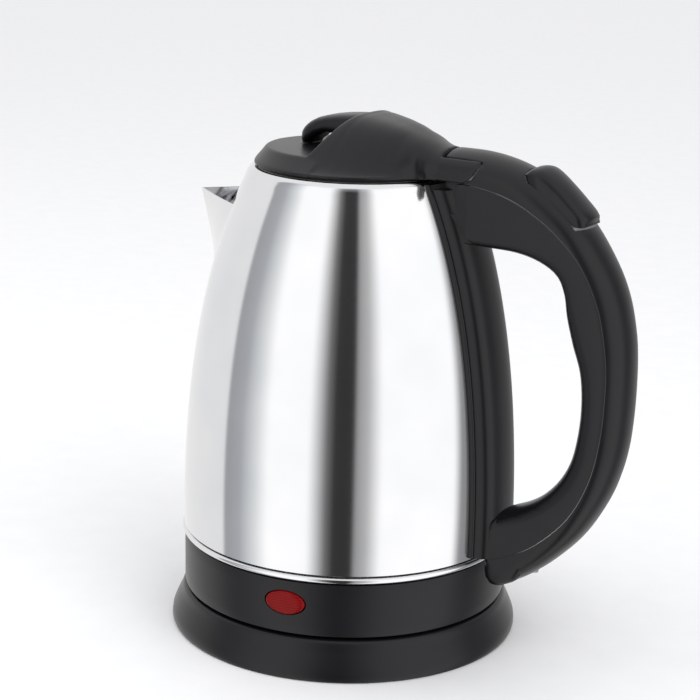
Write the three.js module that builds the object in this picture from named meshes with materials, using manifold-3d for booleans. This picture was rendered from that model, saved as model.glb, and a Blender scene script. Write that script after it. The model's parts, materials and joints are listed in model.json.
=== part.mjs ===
// Cordless electric kettle on its power base. Millimetres, +Z up.
// The origin is on the kettle's axis, in the plane that the base stands on.
// The handle points along +X and the pouring spout along -X.
import * as THREE from "three";
import { mergeVertices } from "three/addons/utils/BufferGeometryUtils.js";
import { ConvexGeometry } from "three/addons/geometries/ConvexGeometry.js";
import Module from "manifold-3d";

const wasm = await Module();
wasm.setup();

// ---------------------------------------------------------------- driving dimensions

const GAP = 0.3; // between two pieces that touch
const RUNNING = 0.6; // between a moving piece and what it moves past
const ROUND = 36; // facets of a large round piece
const FINE = 20; // facets of a small round piece

// power base
const baseRadius = 79.8;
const baseTopRadius = 74;
const baseHeight = 17.6;
const baseLift = 1.2; // from the table to the skirt's lower edge
const baseWall = 2.2;
const bossRadius = 21;
const bossHeight = 12; // above the base's deck
const socketRadius = 17;
const coverThickness = 2;
const footRadius = 6;
const footCircle = 64;
const footCount = 4;
const hubRadius = 22;
const screwRadius = 1.5;
const screwHead = 3.1; // radius of a screw's head
const baseScrewCircle = 46;
const glandRadius = 4.2;
const glandBore = 3.2;

// cordless connector
const grooveInner = 8.4;
const grooveOuter = 12.6;
const contactWall = 0.6;
const bladeInner = 9.9;
const bladeOuter = 11.1;
const earthPinRadius = 1.8;
const plugDepth = 14; // how far the blade reaches into the socket
const connectorRadius = 19;

// bottom housing, the plastic band under the steel
const bandRadius = 74.2;
const bandHeight = 24.4;
const bandWall = 2.4;
const seatGap = 1.3; // from the base's deck to the band
const trimHeight = 3.6;
const trimRadius = 75.3;
const wellWall = 2;
const lensHalfWidth = 9.2;
const lensHalfHeight = 5;
const lensAngle = -78; // degrees from the handle
const lensProud = 1;

// steel vessel
const steelWall = 0.8;
const bodyBottomRadius = 74.5;
const bodyTopRadius = 46.8;
const bodyHeight = 163.4;
const mouthRadius = 43.4;
const mouthLip = 1.3;
const floorThickness = 1.4;
const floorLift = 2.2;

// spout
const spoutReach = 84.4;
const spoutTop = 193.4;
const spoutRise = 1.6; // the rim climbs this much towards the vessel
const spoutHalfWidth = 33;
const spoutDrop = 51; // from the tip down to where the keel meets the vessel
const filterHole = 2;

// lid
const lidRadius = 44.6;
const lidFlatRadius = 40.6;
const lidEdgeHeight = 7.4;
const lidDomeHeight = 24.2;
const lidWall = 2.2;
const stepX = -19; // foot of the slanted step in front of the dome
const stepSlope = 34; // degrees
const noseHalfWidth = 10;
const noseTipX = -28;
const plugDrop = 7;
const plugRadius = 40.8;

// lid hinge
const hingeX = 59.5;
const hingeRise = 10.3; // above the lid's lower edge
const earRadius = 9.7;
const knuckleRadius = 9;
const hingePinRadius = 1.5;
const tongueHalfWidth = 10;

// handle
const handleHalfWidth = 13.6;
const headHalfWidth = 15;
const handleRound = 4;
const handleWall = 2.4;
const headRise = 14.1; // top of the handle's head above the lid's lower edge
const footScrew = [97, 43.5];
const steamPortDrop = 10; // below the vessel's top
const armDepth = 27.9; // from the lid's lower edge to the foot of the handle's upper arm
const spineProud = 7.6;
const spineHalfWidth = 12.6;
const flangeHalfWidth = 15;
const flangeProud = 2.2;
const channelHalfWidth = 5.5;
const channelDepth = 5;
const armSeat = flangeProud + 2 * GAP; // from the steel to the handle's upper arm
const leadRadius = 1.1;

// on/off rocker
const rockerHalfWidth = 10.5;
const rockerPinRadius = 1.2;
const rockerX = 103;
const rockerDrop = 1.1; // of its pin, below the lid's lower edge
const rockerTravel = 6; // degrees

// ---------------------------------------------------------------- levels worked out from them

const deck = baseHeight;
const bandBottom = deck + seatGap;
const bandTop = bandBottom + bandHeight;
const trimBottom = bandTop + GAP;
const trimTop = trimBottom + trimHeight;
const bodyBottom = trimTop + GAP;
const bodyTop = bodyBottom + bodyHeight;
const lidBottom = bodyTop + mouthLip + 0.5;
const hingeZ = lidBottom + hingeRise;
const floorBottom = bodyBottom + floorLift;
const socketTop = deck + bossHeight - 1;
const bladeTop = deck + bossHeight + RUNNING;
const headTop = lidBottom + headRise;
const steamPortZ = bodyTop - steamPortDrop;
const rockerPivot = [rockerX, lidBottom - rockerDrop];
const armBottom = lidBottom - armDepth;

// ---------------------------------------------------------------- materials

function finish(colour, roughness, metalness) {
  return () => new THREE.MeshStandardMaterial({ color: colour, roughness, metalness });
}

const blackPlastic = finish(0x2b2b2e, 0.45, 0);
const innerPlastic = finish(0x3a3a3d, 0.6, 0);
const palePlastic = finish(0xd8d4c8, 0.5, 0);
const steel = finish(0xc9cbcd, 0.3, 1);
const aluminium = finish(0xb8babd, 0.45, 1);
const brass = finish(0xb08d4a, 0.35, 1);
const rubber = finish(0x1c1c1e, 0.85, 0);
const silicone = finish(0xc9c6bf, 0.7, 0);
const redLens = finish(0x8e1015, 0.2, 0);
const lampGlass = finish(0xe0b8a0, 0.1, 0);
const wireRed = finish(0x8c2a24, 0.6, 0);
const wireBlue = finish(0x2a4a8c, 0.6, 0);

// ---------------------------------------------------------------- making solids

const kettle = new THREE.Group();

function solid(geometry) {
  const bare = geometry.index ? geometry.toNonIndexed() : geometry.clone();
  bare.deleteAttribute("normal");
  bare.deleteAttribute("uv");
  const merged = mergeVertices(bare, 1e-4);
  const vertProperties = merged.attributes.position.array;
  const triVerts = new Uint32Array(merged.index.array);
  const made = new wasm.Manifold(new wasm.Mesh({ numProp: 3, vertProperties, triVerts }));
  if (made.volume() > 0) return made;
  for (let i = 0; i < triVerts.length; i += 3) {
    triVerts.subarray(i + 1, i + 3).reverse();
  }
  return new wasm.Manifold(new wasm.Mesh({ numProp: 3, vertProperties, triVerts }));
}

function addPiece(name, shape, material) {
  const faces = shape.getMesh();
  const geometry = new THREE.BufferGeometry();
  geometry.setAttribute("position", new THREE.BufferAttribute(faces.vertProperties, 3));
  geometry.setIndex(new THREE.BufferAttribute(faces.triVerts, 1));
  geometry.computeVertexNormals();
  const mesh = new THREE.Mesh(geometry, material());
  mesh.name = name;
  kettle.add(mesh);
}

// A profile of [radius, height] points, turned about Z. Closed with its first point
// unless it starts and ends on the axis.
function turned(profile, facets = ROUND) {
  const points = profile.map(([r, z]) => new THREE.Vector2(r, z));
  const onAxis = profile[0][0] === 0 && profile.at(-1)[0] === 0;
  if (!onAxis) points.push(points[0].clone());
  return solid(new THREE.LatheGeometry(points, facets).rotateX(Math.PI / 2));
}

function cylinder(radius, bottom, top, facets = FINE) {
  return turned([[0, bottom], [radius, bottom], [radius, top], [0, top]], facets);
}

function ring(inner, outer, bottom, top, facets = ROUND) {
  return turned([[inner, bottom], [outer, bottom], [outer, top], [inner, top]], facets);
}

function box(low, high) {
  const size = high.map((v, i) => v - low[i]);
  const middle = high.map((v, i) => (v + low[i]) / 2);
  return solid(new THREE.BoxGeometry(...size).translate(...middle));
}

// A cylinder along Y, about the point (x, z).
function crossPin(radius, halfLength, x, z, facets = FINE) {
  return cylinder(radius, -halfLength, halfLength, facets).rotate([90, 0, 0]).translate([x, 0, z]);
}

// An outline of [x, z] points in the plane Y = 0, made as thick as halfWidth each way.
function slab(outline, halfWidth, bevel = 0) {
  const shape = new THREE.Shape(outline.map(([x, z]) => new THREE.Vector2(x, z)));
  const depth = 2 * (halfWidth - bevel);
  const geometry = new THREE.ExtrudeGeometry(shape, {
    depth,
    bevelEnabled: bevel > 0,
    bevelThickness: bevel,
    bevelSize: bevel,
    bevelOffset: -bevel,
    bevelSegments: 2,
  });
  return solid(geometry.translate(0, 0, -depth / 2).rotateX(Math.PI / 2));
}

// A round bar along a smooth route of [x, y, z] points.
function rod(points, radius, steps, sides = 3) {
  const path = new THREE.CatmullRomCurve3(points.map((p) => new THREE.Vector3(...p)));
  const section = new THREE.Shape().absarc(0, 0, radius, 0, 2 * Math.PI);
  const extrude = { extrudePath: path, steps, curveSegments: sides };
  return solid(new THREE.ExtrudeGeometry(section, extrude));
}

// Points on a smooth curve through the given [x, z] points.
function smooth(points, count) {
  const curve = new THREE.SplineCurve(points.map(([x, z]) => new THREE.Vector2(x, z)));
  return curve.getSpacedPoints(count).map((p) => [p.x, p.y]);
}

// The same curve moved sideways; a positive distance moves it to the left of its direction.
function beside(points, distance) {
  return points.map(([x, z], i) => {
    const [ax, az] = points[Math.max(i - 1, 0)];
    const [bx, bz] = points[Math.min(i + 1, points.length - 1)];
    const length = Math.hypot(bx - ax, bz - az);
    return [x - (distance * (bz - az)) / length, z + (distance * (bx - ax)) / length];
  });
}

function arc(x, z, radius, from, to, count) {
  return Array.from({ length: count + 1 }, (_, i) => {
    const angle = THREE.MathUtils.degToRad(from + ((to - from) * i) / count);
    return [x + radius * Math.cos(angle), z + radius * Math.sin(angle)];
  });
}

function around(count, radius, start = 0) {
  return Array.from({ length: count }, (_, i) => {
    const angle = THREE.MathUtils.degToRad(start + (360 * i) / count);
    return [radius * Math.cos(angle), radius * Math.sin(angle)];
  });
}

// A pan-head screw standing on its head at the origin.
function screw(length) {
  const headHeight = 2;
  return turned([
    [0, 0], [screwHead, 0], [screwHead, headHeight],
    [screwRadius, headHeight], [screwRadius, length], [0, length],
  ], 12);
}

// ---------------------------------------------------------------- steel vessel's curve

const bodyCurve = new THREE.CubicBezierCurve(
  new THREE.Vector2(bodyBottomRadius, bodyBottom),
  new THREE.Vector2(bodyBottomRadius + 0.6, bodyBottom + 0.385 * bodyHeight),
  new THREE.Vector2(bodyBottomRadius - 6.5, bodyBottom + 0.72 * bodyHeight),
  new THREE.Vector2(bodyTopRadius, bodyTop),
);

function bodyRadius(z) {
  let low = 0;
  let high = 1;
  for (let i = 0; i < 30; i += 1) {
    const middle = (low + high) / 2;
    if (bodyCurve.getPoint(middle).y < z) low = middle;
    else high = middle;
  }
  return bodyCurve.getPoint(low).x;
}

// Points [radius, z] a distance outside the steel, from one height to another.
function bodySide(distance, from = bodyBottom, to = bodyTop, count = 9) {
  return Array.from({ length: count + 1 }, (_, i) => {
    const z = from + ((to - from) * i) / count;
    return [bodyRadius(z) + distance, z];
  });
}

// The space that the vessel and a clearance round it take up.
function bodyEnvelope(distance) {
  const side = bodySide(distance);
  return turned([[0, bodyBottom - 5], [side[0][0], bodyBottom - 5], ...side,
    [side.at(-1)[0], bodyTop + 6], [0, bodyTop + 6]]);
}

// ---------------------------------------------------------------- power base

function powerBase() {
  const underDeck = deck - baseWall;
  const bossTop = deck + bossHeight;
  const skirt = smooth([
    [baseRadius - 0.9, baseLift], [baseRadius, baseLift + 1.6], [baseRadius - 1, baseLift + 5],
    [baseTopRadius + 2.2, deck - 6], [baseTopRadius + 0.6, deck - 2], [baseTopRadius - 0.6, deck],
  ], 8);
  const coverTop = baseLift + 0.4 + coverThickness;
  const postBottom = coverTop + GAP;
  let shell = turned([
    ...skirt, [bossRadius, deck], [bossRadius - 1, bossTop], [socketRadius + GAP, bossTop],
    [socketRadius + GAP, underDeck], [baseTopRadius - 3, underDeck],
    [baseRadius - baseWall - 0.6, baseLift + 3], [baseRadius - baseWall - 0.6, baseLift],
  ]);
  let cover = turned([
    [0, 0], [hubRadius, 0], [hubRadius + 1, baseLift + 0.4],
    [baseRadius - baseWall - 0.6 - GAP, baseLift + 0.4], [baseRadius - baseWall - 0.6 - GAP, coverTop],
    [0, coverTop],
  ]);

  const post = cylinder(screwRadius + 2.2, postBottom, underDeck + 0.5, 12);
  const screwLength = deck - 4 - baseLift;
  around(3, baseScrewCircle, 30).forEach(([x, y], i) => {
    const pilot = cylinder(screwRadius + GAP, 0, deck - 3, 12);
    const sink = cylinder(screwHead + GAP, 0, baseLift + 1.2, 12);
    shell = shell.add(post.translate([x, y, 0])).subtract(pilot.translate([x, y, 0]));
    cover = cover.subtract(pilot.translate([x, y, 0])).subtract(sink.translate([x, y, 0]));
    const placed = turned([
      [0, baseLift - 0.8 + 0.4], [screwHead, baseLift - 0.4], [screwHead, baseLift + 0.9],
      [screwRadius, baseLift + 0.9], [screwRadius, screwLength], [0, screwLength],
    ], 12).translate([x, y, 0]);
    addPiece("base_screw_" + (i + 1), placed, steel);
  });

  const footTop = baseLift + 0.4 + 0.8;
  around(footCount, footCircle, 45).forEach(([x, y], i) => {
    const recess = cylinder(footRadius + GAP, 0, footTop + GAP, 16).translate([x, y, 0]);
    cover = cover.subtract(recess);
    const foot = turned([
      [0, 0], [footRadius - 0.5, 0], [footRadius, 0.5], [footRadius, footTop], [0, footTop],
    ], 16).translate([x, y, 0]);
    addPiece("base_foot_" + (i + 1), foot, rubber);
  });

  // The lead would come in through a gland in the skirt, at the back.
  const glandZ = coverTop + GAP + glandRadius + 1.5;
  const along = (radius, from, to) => cylinder(radius, from, to, 16)
    .rotate([-90, 0, 0]).translate([0, 0, glandZ]);
  const reach = baseTopRadius + 2.6;
  shell = shell.subtract(along(glandRadius + GAP, 60, 90));
  const gland = along(glandRadius, 68, reach)
    .add(along(glandRadius + 1.4, 68, baseTopRadius - 3.2))
    .subtract(along(glandBore, 60, 90));
  addPiece("cord_gland", gland, rubber);
  addPiece("base_shell", shell, blackPlastic);
  addPiece("base_cover", cover, blackPlastic);
}

// ---------------------------------------------------------------- cordless connector

function baseSocket() {
  const bottom = baseLift + 3.4;
  const grooveFloor = bladeTop - plugDepth - 2;
  const boreRadius = earthPinRadius + 1.5;
  const body = turned([
    [boreRadius, grooveFloor], [boreRadius, socketTop - 1], [boreRadius + 1, socketTop],
    [grooveInner, socketTop], [grooveInner, grooveFloor], [grooveOuter, grooveFloor],
    [grooveOuter, socketTop], [socketRadius, socketTop], [socketRadius, bottom], [0, bottom],
    [0, grooveFloor],
  ].reverse(), 32);
  addPiece("socket_body", body, innerPlastic);
  const contact = (inner, outer) => ring(inner, outer, grooveFloor + GAP, socketTop - 4, 32);
  addPiece("socket_live_ring", contact(grooveOuter - GAP - contactWall, grooveOuter - GAP), brass);
  addPiece("socket_neutral_ring", contact(grooveInner + GAP, grooveInner + GAP + contactWall), brass);
  const sleeve = ring(earthPinRadius + GAP, boreRadius - GAP, grooveFloor + GAP, socketTop - 2, 16);
  addPiece("socket_earth_sleeve", sleeve, brass);
}

function kettleConnector() {
  const flangeTop = bladeTop + 3;
  const slot = ring(bladeInner - GAP, bladeOuter + GAP, bladeTop - 1, flangeTop - 1, 32);
  const body = cylinder(connectorRadius, bladeTop, flangeTop, 32)
    .subtract(slot)
    .subtract(cylinder(earthPinRadius + GAP, bladeTop - 1, flangeTop - 1, 16));
  addPiece("connector_body", body, innerPlastic);
  const blade = ring(bladeInner, bladeOuter, bladeTop - plugDepth, flangeTop - 1 - GAP, 32);
  addPiece("connector_contact_ring", blade, brass);
  const pin = turned([
    [0, bladeTop - plugDepth], [earthPinRadius - 0.8, bladeTop - plugDepth],
    [earthPinRadius, bladeTop - plugDepth + 1], [earthPinRadius, flangeTop - 1 - GAP],
    [0, flangeTop - 1 - GAP],
  ], 16);
  addPiece("connector_earth_pin", pin, brass);
}

// ---------------------------------------------------------------- bottom housing

// The switch leads pass out under the foot of the spine.
function leadNotch(from, to) {
  return box([from, -channelHalfWidth, bandTop - 7], [to, channelHalfWidth, floorBottom + 1]);
}

function bottomHousing() {
  const inside = bandRadius - bandWall;
  const shelf = bandTop - 2;
  const cover = bandBottom + 1.4;
  const wellRadius = bossRadius + 2;
  const wellTop = bladeTop + 5;
  let band = turned([
    [bandRadius - 1, bandBottom], [bandRadius - 0.2, bandBottom + 1.4], [bandRadius, bandBottom + 12],
    [bandRadius, bandTop - 0.6], [bandRadius - 0.6, bandTop], [inside - 4, bandTop],
    [inside - 4, shelf], [inside, shelf], [inside, bandBottom],
  ]);
  const coverTop = cover + 2;
  let plate = turned([
    [inside - GAP, cover], [inside - GAP, coverTop], [wellRadius + wellWall, coverTop],
    [wellRadius + wellWall, wellTop], [wellRadius, wellTop], [wellRadius, cover],
  ]);

  around(3, inside - 7, 60).forEach(([x, y], i) => {
    const post = box([-3.4, -3.4, coverTop + GAP], [12, 3.4, shelf + 0.5])
      .subtract(cylinder(screwRadius + GAP, 0, shelf - 2, 12))
      .rotate([0, 0, 60 + 120 * i]).translate([x, y, 0])
      .intersect(cylinder(inside + 0.5, bandBottom, shelf + 1, ROUND));
    band = band.add(post);
    plate = plate
      .subtract(cylinder(screwRadius + GAP, 0, 60, 12).translate([x, y, 0]))
      .subtract(cylinder(screwHead + GAP, 0, cover + 0.9, 12).translate([x, y, 0]));
    addPiece("bottom_screw_" + (i + 1), screw(14).translate([x, y, cover - 1.4]), steel);
  });

  // Indicator: an oval lens in a hole in the band, with the lamp behind it.
  const lensZ = (bandBottom + bandTop) / 2 + 1.9;
  const radial = (shape) => shape.rotate([0, 90, 0]).rotate([0, 0, lensAngle]).translate([0, 0, lensZ]);
  const oval = (profile, grow) => turned(profile, 24)
    .scale([(lensHalfHeight + grow) / lensHalfWidth, 1 + grow / lensHalfWidth, 1]);
  const lensBack = inside - 1.5;
  const lensFront = bandRadius + lensProud;
  const w = lensHalfWidth;
  const lens = oval([
    [0, lensBack], [w, lensBack], [w, lensFront - 0.9], [w - 1.2, lensFront - 0.3],
    [w / 2, lensFront], [0, lensFront],
  ], 0);
  const hole = oval([[0, lensBack - 6], [w, lensBack - 6], [w, lensFront + 6], [0, lensFront + 6]], GAP);
  band = band.subtract(radial(hole));
  addPiece("lamp_lens", radial(lens), redLens);
  addPiece("neon_lamp", radial(cylinder(2.4, lensBack - 13, lensBack - 1, 12)), lampGlass);

  const trim = turned([
    [bandRadius - 1.6, trimBottom], [trimRadius - 0.9, trimBottom], [trimRadius, trimBottom + 1],
    [trimRadius, trimTop - 1.2], [trimRadius - 0.8, trimTop - 0.2], [bodyBottomRadius - 1, trimTop],
    [bandRadius - 1.6, trimTop],
  ]);
  addPiece("bottom_housing", band.subtract(leadNotch(66, bandRadius - 1.2)), blackPlastic);
  addPiece("bottom_cover", plate, blackPlastic);
  addPiece("bottom_trim_ring", trim.subtract(leadNotch(60, 90)), steel);
}

// ---------------------------------------------------------------- vessel, spout and heater

function spoutWedge(inset) {
  const reach = spoutReach - inset * 1.6;
  const half = spoutHalfWidth - inset * 1.2;
  const root = Math.sqrt(bodyRadius(spoutTop) ** 2 - spoutHalfWidth ** 2);
  const foot = spoutTop - spoutDrop;
  const tip = 1.6;
  const points = [
    [-reach, -tip, spoutTop], [-reach, tip, spoutTop],
    [-root, -half, spoutTop + spoutRise], [-root, half, spoutTop + spoutRise],
    [-root + 20, -half, spoutTop + spoutRise], [-root + 20, half, spoutTop + spoutRise],
    [-bodyRadius(foot) + inset + 0.8, 0, foot + inset * 2],
    [-root - 8, half - 3, spoutTop - 16], [-root - 8, -half + 3, spoutTop - 16],
    [-root + 20, 0, foot + inset * 2],
  ];
  return solid(new ConvexGeometry(points.map((p) => new THREE.Vector3(...p))));
}

function steelVessel() {
  const outside = bodySide(0);
  const lipTop = bodyTop + mouthLip;
  const inside = bodySide(-steelWall, bodyBottom, bodyTop - 1.5).reverse();
  const above = box([-120, -60, spoutTop + spoutRise - 0.8], [0, 60, spoutTop + 60]);
  const opening = spoutWedge(3.2).subtract(above)
    .intersect(box([-90, -26, spoutTop - 34], [-20, 26, spoutTop - 3]));
  const body = turned([
    ...outside, [bodyTopRadius - 1.2, lipTop], [mouthRadius, lipTop], [mouthRadius, bodyTop - 0.2],
    ...inside,
  ]).subtract(opening).subtract(steamPort);
  addPiece("steel_body", body, steel);

  const channel = spoutWedge(steelWall);
  const spout = spoutWedge(0).subtract(channel).subtract(channel.translate([0, 0, 0.5]))
    .subtract(box([-120, -60, spoutTop + spoutRise - 0.5], [0, 60, spoutTop + 60]))
    .subtract(bodyEnvelope(GAP));
  const largest = spout.decompose().sort((a, b) => b.volume() - a.volume())[0];
  addPiece("spout", largest, steel);

  // Strainer: a perforated screen just inside the opening.
  const near = bodySide(-steelWall - GAP, spoutTop - 38, spoutTop + 1, 4);
  const far = bodySide(-steelWall - GAP - 0.6, spoutTop - 38, spoutTop + 1, 4).reverse();
  let screen = turned([...near, ...far])
    .intersect(box([-90, -28, bodyBottom], [-20, 28, bodyTop]));
  const pitch = 3 * filterHole;
  for (let row = -2; row <= 2; row += 1) {
    for (let column = -2; column <= 2; column += 1) {
      const y = column * pitch * 1.3 + (row % 2 ? pitch / 3 : 0);
      const hole = cylinder(filterHole, 30, 80, 6).rotate([0, -90, 0])
        .translate([0, y, spoutTop - 18.5 + row * pitch]);
      screen = screen.subtract(hole);
    }
  }
  addPiece("spout_filter", screen, steel);

  const floorRadius = bodyRadius(floorBottom) - steelWall - GAP;
  addPiece("vessel_floor", cylinder(floorRadius, floorBottom, floorBottom + floorThickness, ROUND), steel);
}

function heater() {
  const diffuserTop = floorBottom - GAP;
  const diffuserBottom = diffuserTop - 2.6;
  addPiece("heat_diffuser", cylinder(52, diffuserBottom, diffuserTop, 40), aluminium);
  const tube = 3.2;
  const tubeZ = diffuserBottom - tube - GAP;
  const coil = arc(0, 0, 42, 28, 332, 20).map(([x, y]) => [x, y, tubeZ]);
  const [startX, startY] = coil[0];
  const dip = tubeZ - 9;
  const route = [[startX + 4, startY - 6, dip], [startX + 3, startY - 4, tubeZ - 2], ...coil,
    [startX + 3, 4 - startY, tubeZ - 2], [startX + 4, 6 - startY, dip]];
  addPiece("heating_element", rod(route, tube, 34, 4), steel);

  // Thermostat block over the connector, with two bimetal discs against the diffuser.
  const blockBottom = bladeTop + 3 + GAP;
  const blockTop = diffuserBottom - 2.2;
  const block = cylinder(18, blockBottom, blockTop - 3, 24)
    .add(box([-26, -13, blockBottom + 2], [26, 13, blockTop]));
  addPiece("control_unit", block, innerPlastic);
  [-16, 16].forEach((y, i) => {
    const disc = cylinder(5.6, blockTop + GAP, blockTop + GAP + 0.8, 16)
      .translate([y, 0, 0]);
    addPiece("dry_boil_bimetal_" + (i + 1), disc, brass);
  });
  const sealOuter = bandRadius - bandWall;
  const seal = ring(sealOuter - 5, sealOuter - 1.8, bandTop + GAP, floorBottom - GAP);
  addPiece("body_seal", seal.subtract(leadNotch(60, 80)), silicone);
}

// ---------------------------------------------------------------- handle

// A height given by how far it is under the lid's lower edge.
function below(drop) {
  return lidBottom - drop;
}

const outerCurve = smooth([
  [hingeX - 10, headTop], [hingeX + 4, headTop], [72.8, headTop - 1.2], [84, headTop - 4],
  [94, below(-6.3)], [106, below(0.2)], [118, below(11.2)], [130.5, below(29.7)],
  [138.2, below(52.7)], [139.6, below(76.7)],
  [137.6, 108], [130.2, 83], [117, 62.5], [102, 48.2], [93, 40.4], [86.5, 37],
], 34);
const innerCurve = smooth([
  [50, below(26.7)], [72, below(27.1)], [87, below(27.7)], [98, below(30.4)], [105.5, below(35.4)],
  [108.6, below(43.1)],
  [109.5, below(51.7)], [112.5, below(61.7)], [117, below(73.7)], [118.8, 127], [118.3, 114],
  [115.6, 100.4],
  [110, 89.5], [102, 80.5], [94, 74.5], [84, 69], [70, 62.5],
], 30);
const seamCurve = smooth([
  [34, lidBottom + 0.4], [62, lidBottom + 0.4], [74.8, lidBottom - 0.4], [87.1, below(3.1)],
  [103.8, below(12.5)], [117.7, below(25.7)], [127.9, below(43.1)], [133, below(68.7)], [133, 120],
  [130, 101],
  [121.5, 79.5], [104, 60.2], [83.4, 49.6], [60, 42],
], 26);

function biggest(shape) {
  return shape.decompose().sort((a, b) => b.volume() - a.volume())[0];
}

const steamPort = cylinder(3.5, 0, 80, 12).rotate([0, 90, 0]).translate([0, 0, steamPortZ]);
const leadSlot = box([56, -4, armBottom - 0.2], [88, 4, armBottom + 10.2]);

// The spine hugs the vessel below the handle's upper arm and carries the leads.
function spine() {
  const foot = trimTop + 1.4;
  const shoulder = armBottom - GAP;
  const top = lidBottom - 1.2;
  const rib = bodyEnvelope(spineProud)
    .intersect(box([0, -spineHalfWidth, foot], [120, spineHalfWidth, shoulder]));
  const flange = bodyEnvelope(flangeProud)
    .intersect(box([0, -flangeHalfWidth, foot], [120, flangeHalfWidth, top]));
  const channel = slab([
    ...bodySide(-4, bodyBottom - 4, shoulder + 2, 6),
    ...bodySide(channelDepth, bodyBottom - 4, shoulder + 2, 10).reverse(),
  ], channelHalfWidth);
  const shape = rib.add(flange).subtract(bodyEnvelope(GAP)).subtract(channel)
    .subtract(steamPort);
  addPiece("spine", biggest(shape), blackPlastic);
}

// Outline of the rocker, grown by a clearance on every side.
function rockerOutline(grow) {
  const slope = smooth([
    [88.2, below(-7.9)], [90.6, below(-10.5)], [94, below(-11.2)], [98.6, below(-10.1)],
    [103.5, below(-7.1)], [110.7, below(-1.5)],
    [118.4, below(4.3)], [119.8, below(6.7)],
  ], 12);
  const under = [[116.6, below(9.3)], [106, below(4.1)], [97, below(0.2)], [89.4, below(-4.7)]];
  const whole = [...slope, ...under];
  const looped = [whole.at(-1), ...whole, whole[0]];
  return beside(looped, grow).slice(1, -1);
}

function aboutRocker(shape, degrees) {
  const [x, z] = rockerPivot;
  return shape.translate([-x, 0, -z]).rotate([0, degrees, 0]).translate([x, 0, z]);
}

function rocker() {
  const pivotBoss = crossPin(rockerPinRadius + 1.8, rockerHalfWidth, ...rockerPivot, 16);
  const button = slab(rockerOutline(0), rockerHalfWidth).add(pivotBoss)
    .subtract(crossPin(rockerPinRadius + GAP, 30, ...rockerPivot, 12));
  addPiece("switch_rocker", button, blackPlastic);
  addPiece("rocker_pin", crossPin(rockerPinRadius, handleHalfWidth - 1.9, ...rockerPivot, 12), steel);
}

function rockerRoom() {
  const grown = slab(rockerOutline(RUNNING), rockerHalfWidth + RUNNING)
    .add(crossPin(rockerPinRadius + 1.8 + RUNNING, rockerHalfWidth + RUNNING, ...rockerPivot, 16));
  return grown.add(aboutRocker(grown, rockerTravel / 2)).add(aboutRocker(grown, rockerTravel))
    .add(slab([
      [90, below(-2.3)], [96, below(-27)], [118, below(-1.3)], [114, below(3.7)],
    ], rockerHalfWidth + RUNNING));
}

function handle() {
  const whole = slab([
    [hingeX - 10, below(12)], ...outerCurve, ...arc(86, 43.2, 6.4, 255, 180, 4), [79.6, 51], [62, 50],
    ...innerCurve.slice().reverse(),
  ], headHalfWidth, handleRound);
  const plan = new ConvexGeometry([0, headTop + 30].flatMap((z) => [
    [30, headHalfWidth + 1], [hingeX + 14, headHalfWidth], [112, handleHalfWidth],
    [160, handleHalfWidth],
  ].flatMap(([x, y]) => [new THREE.Vector3(x, y, z), new THREE.Vector3(x, -y, z)])));
  const cavity = slab([
    ...beside(outerCurve, -handleWall).slice(4, 31),
    ...beside(innerCurve, handleWall).slice(3, 27).reverse(),
  ], handleHalfWidth - handleWall);

  // The lid's two ears turn on either side of the tongue left between them.
  const earRoom = crossPin(earRadius + GAP, 40, hingeX, hingeZ, 32)
    .add(box([20, -40, lidBottom + 0.1], [hingeX, 40, below(-47)]))
    .subtract(box([0, -tongueHalfWidth, 0], [200, tongueHalfWidth, below(-90)]));
  const tongueEnd = box([20, -20, lidBottom + 0.1], [hingeX, 20, below(-47)])
    .subtract(crossPin(knuckleRadius, 30, hingeX, hingeZ, 32));
  const body = whole.intersect(solid(plan)).subtract(cavity).subtract(bodyEnvelope(armSeat))
    .subtract(earRoom).subtract(tongueEnd)
    .subtract(crossPin(hingePinRadius + GAP, headHalfWidth - 1, hingeX, hingeZ, 16))
    .subtract(rockerRoom())
    .subtract(crossPin(rockerPinRadius + GAP, handleHalfWidth - 1.5, ...rockerPivot, 12));

  const spineRoom = bodyEnvelope(spineProud + GAP).intersect(box([0, -40, 0], [120, 40, armBottom]));
  const outside = slab([...seamCurve, [20, 20], [170, 20], [170, below(-47)], [34, below(-47)]], 40);
  const inside = slab([...beside(seamCurve, -GAP), [30, 30], [30, below(8)]], 40);
  const [screwX, screwZ] = footScrew;
  const bore = (radius, from, to) => cylinder(radius, from, to, 12).translate([screwX, 0, screwZ]);
  const outer = body.intersect(outside).subtract(spineRoom)
    .subtract(bore(screwHead + GAP, -20, 2.4)).subtract(bore(screwRadius + GAP, -20, 30));
  const inner = body.intersect(inside).subtract(spineRoom).subtract(leadSlot).subtract(steamPort)
    .subtract(bore(screwRadius + GAP, -20, 15));
  addPiece("handle_outer_shell", biggest(outer), blackPlastic);
  addPiece("handle_inner_shell", biggest(inner), blackPlastic);
  addPiece("handle_screw", screw(14).translate([screwX, 0, screwZ]), steel);
  addPiece("hinge_pin", crossPin(hingePinRadius, headHalfWidth - 1.4, hingeX, hingeZ, 16), steel);
}

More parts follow.
